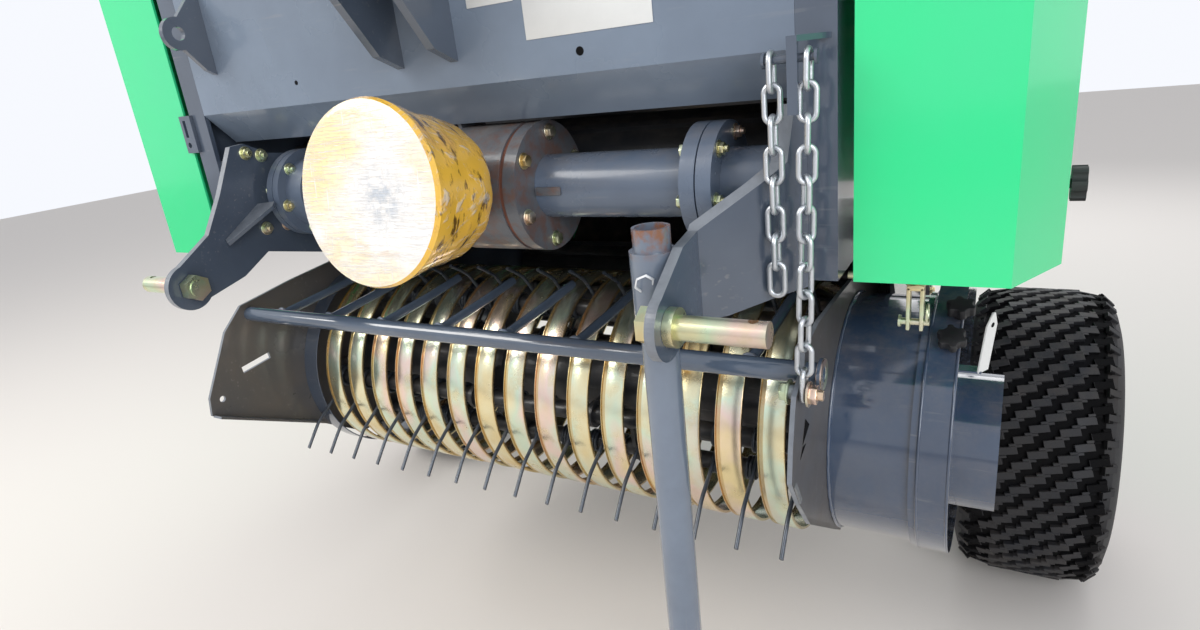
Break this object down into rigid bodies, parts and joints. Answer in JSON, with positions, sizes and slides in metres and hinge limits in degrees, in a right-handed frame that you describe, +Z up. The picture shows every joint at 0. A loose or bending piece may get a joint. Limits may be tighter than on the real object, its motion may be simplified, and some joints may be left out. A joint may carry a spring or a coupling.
{
  "type": "mounted round baler",
  "caption": "Small fixed-chamber round baler on two turf wheels and a parking stand, with pickup reel, stripper bands, wind guard, tailgate and side covers.",
  "frame": {"origin": "centre of the footprint on the ground", "axes": "+X machine's right, -Y towards the tractor, +Z up"},
  "size_m": [1.878, 1.698, 1.808],
  "materials": {
    "anthracite": "gloss",
    "black_steel": "satin",
    "cast": "satin",
    "chrome": "gloss",
    "green": "gloss",
    "guard_yellow": "satin",
    "knob": "matte",
    "rim": "gloss",
    "tyre": "matte",
    "yellow_zinc": "satin",
    "zinc": "satin"
  },
  "bodies": {
    "chassis": {"side_frame_left": "anthracite", "side_frame_right": "anthracite", "frame_stubs_left": "anthracite", "frame_stubs_right": "anthracite", "front_panel": "anthracite", "top_hitch": "anthracite", "hitch_plate_left": "anthracite", "hitch_plate_right": "anthracite", "hitch_pin_left": "yellow_zinc", "hitch_pin_right": "yellow_zinc", "gearbox": "cast", "pto_guard": "guard_yellow", "cross_tubes": "anthracite", "front_rollers": "black_steel", "front_bearings": "cast", "axle_beam": "anthracite", "stand_sleeve": "anthracite", "chain_hook": "anthracite", "lift_chain": "zinc", "chain_tail": "zinc", "frame_lug": "anthracite", "twine_box": "anthracite", "top_cover": "anthracite"},
    "wheel_left": {"wheel_rims_left": "rim", "tyre_left": "tyre"},
    "wheel_right": {"wheel_rims_right": "rim", "tyre_right": "tyre"},
    "stand": {"parking_stand": "anthracite"},
    "pickup": {"pickup_plate_left": "anthracite", "pickup_plate_right": "anthracite", "stripper_bands": "yellow_zinc", "pickup_beam": "anthracite", "drive_drum": "anthracite", "chain_case": "anthracite", "pickup_arm_left": "anthracite"},
    "reel": {"reel_core": "black_steel", "reel_tines": "black_steel"},
    "wind_guard": {"wind_guard": "anthracite"},
    "tailgate": {"gate_plates": "green", "gate_skin": "green", "gate_rollers": "black_steel"},
    "cylinder_left": {"cylinder_left": "black_steel"},
    "cylinder_right": {"cylinder_right": "black_steel"},
    "rod_left": {"rod_left": "chrome"},
    "rod_right": {"rod_right": "chrome"},
    "cover_left": {"cover_left": "green", "cover_knobs_left": "knob"},
    "cover_right": {"cover_right": "green", "cover_knobs_right": "knob"},
    "twine_lid": {"twine_lid": "green"}
  },
  "joints": [
    {"name": "wheel_left_spin", "type": "hinge", "parent": "chassis", "child": "wheel_left", "pos_m": [-0.811, 0.145, 0.295], "axis": [1, 0, 0], "continuous": true},
    {"name": "wheel_right_spin", "type": "hinge", "parent": "chassis", "child": "wheel_right", "pos_m": [0.811, 0.145, 0.295], "axis": [1, 0, 0], "continuous": true},
    {"name": "stand_slide", "type": "slide", "parent": "chassis", "child": "stand", "axis": [0, 0, 1], "range_m": [0, 0.4]},
    {"name": "pickup_lift", "type": "hinge", "parent": "chassis", "child": "pickup", "pos_m": [0, -0.005, 0.76], "axis": [-1, 0, 0], "range_deg": [0, 4], "deforming": ["lift_chain"]},
    {"name": "reel_spin", "type": "hinge", "parent": "pickup", "child": "reel", "pos_m": [0, -0.335, 0.537], "axis": [1, 0, 0], "continuous": true},
    {"name": "wind_guard_swing", "type": "hinge", "parent": "pickup", "child": "wind_guard", "pos_m": [0, -0.63, 0.727], "axis": [1, 0, 0], "range_deg": [0, 12]},
    {"name": "tailgate_open", "type": "hinge", "parent": "chassis", "child": "tailgate", "pos_m": [0, 0.136, 1.78], "axis": [1, 0, 0], "range_deg": [0, 65]},
    {"name": "cylinder_left_swing", "type": "hinge", "parent": "chassis", "child": "cylinder_left", "pos_m": [-0.62, 0.111, 1.2], "axis": [1, 0, 0], "range_deg": [0, 4.68]},
    {"name": "rod_left_slide", "type": "slide", "parent": "cylinder_left", "child": "rod_left", "axis": [0, 0.3529, 0.9357], "range_m": [0, 0.2005]},
    {"name": "cylinder_right_swing", "type": "hinge", "parent": "chassis", "child": "cylinder_right", "pos_m": [0.62, 0.111, 1.2], "axis": [1, 0, 0], "range_deg": [0, 4.68]},
    {"name": "rod_right_slide", "type": "slide", "parent": "cylinder_right", "child": "rod_right", "axis": [0, 0.3529, 0.9357], "range_m": [0, 0.2005]},
    {"name": "cover_left_open", "type": "hinge", "parent": "chassis", "child": "cover_left", "pos_m": [-0.6, -0.293, 1.508], "axis": [0, 1, 0], "range_deg": [0, 80]},
    {"name": "cover_right_open", "type": "hinge", "parent": "chassis", "child": "cover_right", "pos_m": [0.6, -0.293, 1.508], "axis": [0, -1, 0], "range_deg": [0, 80]},
    {"name": "twine_lid_open", "type": "hinge", "parent": "chassis", "child": "twine_lid", "pos_m": [0, -0.361, 1.57], "axis": [-1, 0, 0], "range_deg": [0, 95]}
  ],
  "couplings": [
    {"joint": "cylinder_left_swing", "follows": "tailgate_open", "ratio": 0.068966},
    {"joint": "rod_left_slide", "follows": "tailgate_open", "m_per_rad": 0.175},
    {"joint": "cylinder_right_swing", "follows": "tailgate_open", "ratio": 0.068966},
    {"joint": "rod_right_slide", "follows": "tailgate_open", "m_per_rad": 0.175}
  ]
}
